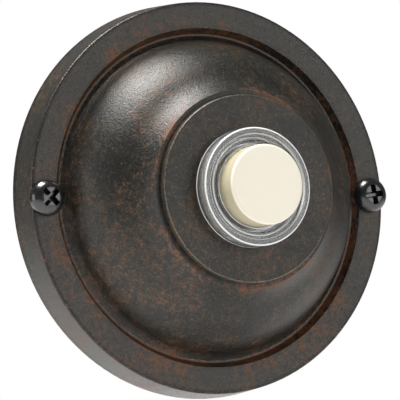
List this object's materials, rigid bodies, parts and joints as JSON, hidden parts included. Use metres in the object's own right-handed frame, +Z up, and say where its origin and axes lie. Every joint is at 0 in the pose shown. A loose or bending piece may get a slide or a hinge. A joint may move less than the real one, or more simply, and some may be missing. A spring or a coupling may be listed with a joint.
{
  "type": "doorbell push button",
  "caption": "Round bell-shaped dark bronze doorbell cover with a clear collar and an ivory push button, fixed with cross recess screws.",
  "frame": {"origin": "centre of the cover on the wall plane", "axes": "+Z up, the button faces -Y, +Y goes into the wall, the mounting screws lie on X"},
  "size_m": [0.0644, 0.0285, 0.0644],
  "materials": {
    "dark_bronze": "dark bronze patina with rust orange mottling, satin",
    "clear_plastic": "clear, polished",
    "ivory_plastic": "ivory, satin",
    "black_screw": "black, glossy",
    "brass": "plain",
    "nickel": "nickel plated",
    "spring_steel": "bright wire and strip",
    "base_plastic": "black moulded",
    "lamp_lens": "diffused",
    "resistor_body": "lacquered"
  },
  "bodies": {
    "housing": {"escutcheon": "dark_bronze", "clear_bezel": "clear_plastic", "return_spring": "spring_steel", "terminal_base": "base_plastic", "left_contact": "brass", "right_contact": "brass", "left_terminal_screw": "nickel", "right_terminal_screw": "nickel", "left_terminal_washer": "nickel", "right_terminal_washer": "nickel", "led_lamp": "lamp_lens", "left_lamp_lead": "nickel", "right_lamp_lead": "nickel", "resistor": "resistor_body", "retainer_clip": "spring_steel", "left_mounting_screw": "black_screw", "right_mounting_screw": "black_screw"},
    "button": {"push_button": "ivory_plastic", "contact_ring": "brass"}
  },
  "joints": [
    {"name": "button_press", "type": "slide", "parent": "housing", "child": "button", "axis": [0, 1, 0], "range_m": [0, 0.0015], "stiffness_N_per_m": 500, "springref_m": -0.003, "deforming": ["return_spring"]}
  ]
}
